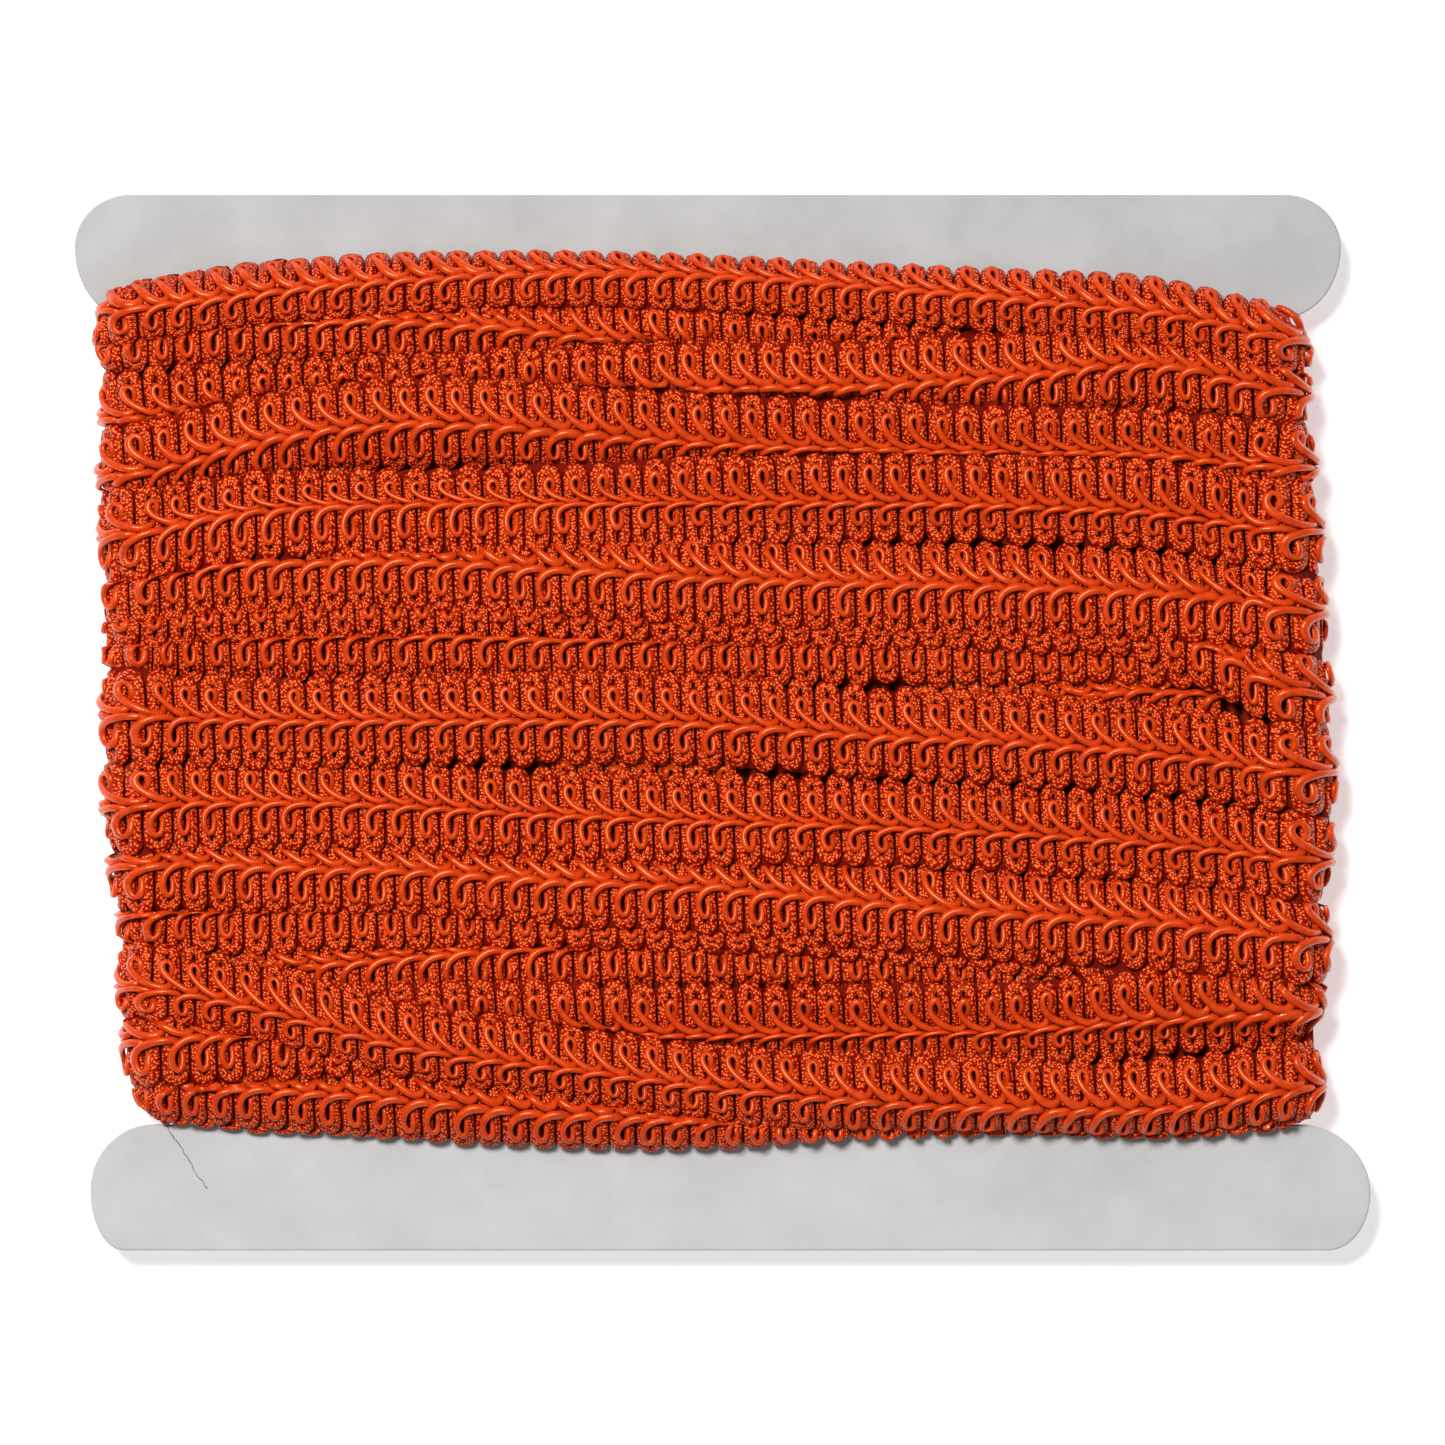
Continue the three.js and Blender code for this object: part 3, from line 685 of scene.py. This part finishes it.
def buriedBraid():
    material, tree = newMaterial("buried rayon braid")
    place = addNode(tree, "ShaderNodeTexCoord")
    noise = addNode(tree, "ShaderNodeTexNoise", Vector=place.outputs["Object"],
                    Scale=1 / (buried["tuft"] * mm), Detail=3.0)
    split = addNode(tree, "ShaderNodeSeparateXYZ", Vector=place.outputs["Object"])
    turns = addNode(tree, "ShaderNodeMath", dict(operation="MULTIPLY"), i0=split.outputs[0],
                    i1=2 * math.pi / (braid["pitch"] / 2 * mm))
    ribs = addNode(tree, "ShaderNodeMath", dict(operation="SINE"), i0=turns.outputs[0])
    level = addNode(tree, "ShaderNodeMath", dict(operation="MULTIPLY_ADD"), i0=ribs.outputs[0],
                    i1=buried["ribs"], i2=noise.outputs[0])
    ramp = addNode(tree, "ShaderNodeValToRGB", Fac=level.outputs[0])
    # Painted shade: the braid's orange darkened to near black and dark red, as it looks deep down the gaps.
    setRamp(ramp, [(0.30, "#260300"), (0.75, "#8A1A02")])
    # Where the pile lies close under a course, one even dark red replaces the ramp: painted shade, less deep
    # than in the gaps.
    near = addNode(tree, "ShaderNodeAttribute", dict(attribute_name="raisedShadeMask"))
    tint = addNode(tree, "ShaderNodeMix", dict(data_type="RGBA"), i0=near.outputs["Fac"],
                   i6=ramp.outputs[0], i7=linear("#6E0C00"))
    bump = addNode(tree, "ShaderNodeBump", Strength=0.8, Distance=buried["depth"] * mm,
                   Height=level.outputs[0])
    shader = addNode(tree, "ShaderNodeBsdfPrincipled", Base_Color=tint.outputs[2], Roughness=0.8,
                     Normal=bump.outputs[0], Specular_IOR_Level=0.1)
    addNode(tree, "ShaderNodeOutputMaterial", Surface=shader.outputs[0])
    return material


# Greyboard faced with pale paper: calendered and matt, with faint clouds of pulp, a little darker toward
# the top flange, and with one hairline crack near the left end of the bottom flange. The crack lies where
# x + slope y + offset, wobbled by noise, is within its half width of zero. Sizes in millimetres.
board = dict(clouds=11.1, grain=0.385, depth=0.05, darkening=-3.2)
crack = dict(slope=0.642, offset=110.0, lowest=-63.0, halfWidth=0.09, wobble=1.2, wobbleLength=1.43)


def greyBoard():
    material, tree = newMaterial("paper faced greyboard")
    place = addNode(tree, "ShaderNodeTexCoord")
    clouds = addNode(tree, "ShaderNodeTexNoise", Vector=place.outputs["Object"],
                     Scale=1 / (board["clouds"] * mm), Detail=4.0, Roughness=0.6)
    split = addNode(tree, "ShaderNodeSeparateXYZ", Vector=place.outputs["Object"])
    tone = addNode(tree, "ShaderNodeMath", dict(operation="MULTIPLY_ADD"), i0=split.outputs[1],
                   i1=board["darkening"], i2=clouds.outputs[0])
    ramp = addNode(tree, "ShaderNodeValToRGB", Fac=tone.outputs[0])
    setRamp(ramp, [(0.15, "#A4A4A3"), (0.85, "#BBBBBA")])
    jitter = addNode(tree, "ShaderNodeTexNoise", Vector=place.outputs["Object"],
                     Scale=1 / (crack["wobbleLength"] * mm), Detail=3.0)
    leaning = addNode(tree, "ShaderNodeMath", dict(operation="MULTIPLY_ADD"), i0=split.outputs[1],
                      i1=crack["slope"], i2=split.outputs[0])
    wobbled = addNode(tree, "ShaderNodeMath", dict(operation="MULTIPLY_ADD"), i0=jitter.outputs[0],
                      i1=crack["wobble"] * mm, i2=leaning.outputs[0])
    onLine = addNode(tree, "ShaderNodeMath", dict(operation="COMPARE"), i0=wobbled.outputs[0],
                     i1=(crack["wobble"] / 2 - crack["offset"]) * mm, i2=crack["halfWidth"] * mm)
    above = addNode(tree, "ShaderNodeMath", dict(operation="GREATER_THAN"), i0=split.outputs[1],
                    i1=crack["lowest"] * mm)
    mask = addNode(tree, "ShaderNodeMath", dict(operation="MULTIPLY"), i0=onLine.outputs[0],
                   i1=above.outputs[0])
    tint = addNode(tree, "ShaderNodeMix", dict(data_type="RGBA"), i0=mask.outputs[0],
                   i6=ramp.outputs[0], i7=linear("#6A6A68"))
    grain = addNode(tree, "ShaderNodeTexNoise", Vector=place.outputs["Object"],
                    Scale=1 / (board["grain"] * mm), Detail=3.0)
    bump = addNode(tree, "ShaderNodeBump", Strength=0.25, Distance=board["depth"] * mm,
                   Height=grain.outputs[0])
    shader = addNode(tree, "ShaderNodeBsdfPrincipled", Base_Color=tint.outputs[2], Roughness=0.75,
                     Normal=bump.outputs[0])
    addNode(tree, "ShaderNodeOutputMaterial", Surface=shader.outputs[0])
    return material


# Matt white acrylic lit from below, as under goods for a catalogue, so that shadows on it stay pale.
def plainFloor():
    material, tree = newMaterial("backlit white acrylic")
    shader = addNode(tree, "ShaderNodeBsdfPrincipled", Base_Color=linear("#FAFAFA"), Roughness=1.0,
                     Specular_IOR_Level=0.0, Emission_Color=linear("#FFFFFF"), Emission_Strength=0.45)
    addNode(tree, "ShaderNodeOutputMaterial", Surface=shader.outputs[0])
    return material


dressing = [(groundPieces, chainStitchedCord()), (gimpPieces, wrappedGimp()), ([innerPile], buriedBraid())]
for pieces, material in dressing:
    for piece in pieces:
        piece.data.materials.append(material)
        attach(piece, "root")
        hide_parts("wound_braid")
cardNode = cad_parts["card"]
cardNode.data.materials.clear()
cardNode.data.materials.append(greyBoard())
print("materials set")


studio = dict(floorSize=3.0, worldStrength=0.27, keySize=0.28, keyPower=15.1, keyPlace=(-0.26, 0.36, 1.05))

bpy.ops.mesh.primitive_plane_add(size=studio["floorSize"], location=(0, 0, -0.0002))
floor = bpy.context.object
floor.name = "floor"
floor.data.materials.append(plainFloor())

world = bpy.data.worlds.new("studio")
bpy.context.scene.world = world
world.use_nodes = True
world.node_tree.nodes["Background"].inputs["Color"].default_value = (1, 1, 1, 1)
world.node_tree.nodes["Background"].inputs["Strength"].default_value = studio["worldStrength"]

keyData = bpy.data.lights.new("softKey", "AREA")
keyData.size = studio["keySize"]
keyData.energy = studio["keyPower"]
key = bpy.data.objects.new("softKey", keyData)
bpy.context.scene.collection.objects.link(key)
key.location = studio["keyPlace"]
key.rotation_euler = (-key.location).to_track_quat("-Z", "Y").to_euler()
bpy.context.scene.view_settings.view_transform = "Standard"
print("light set")
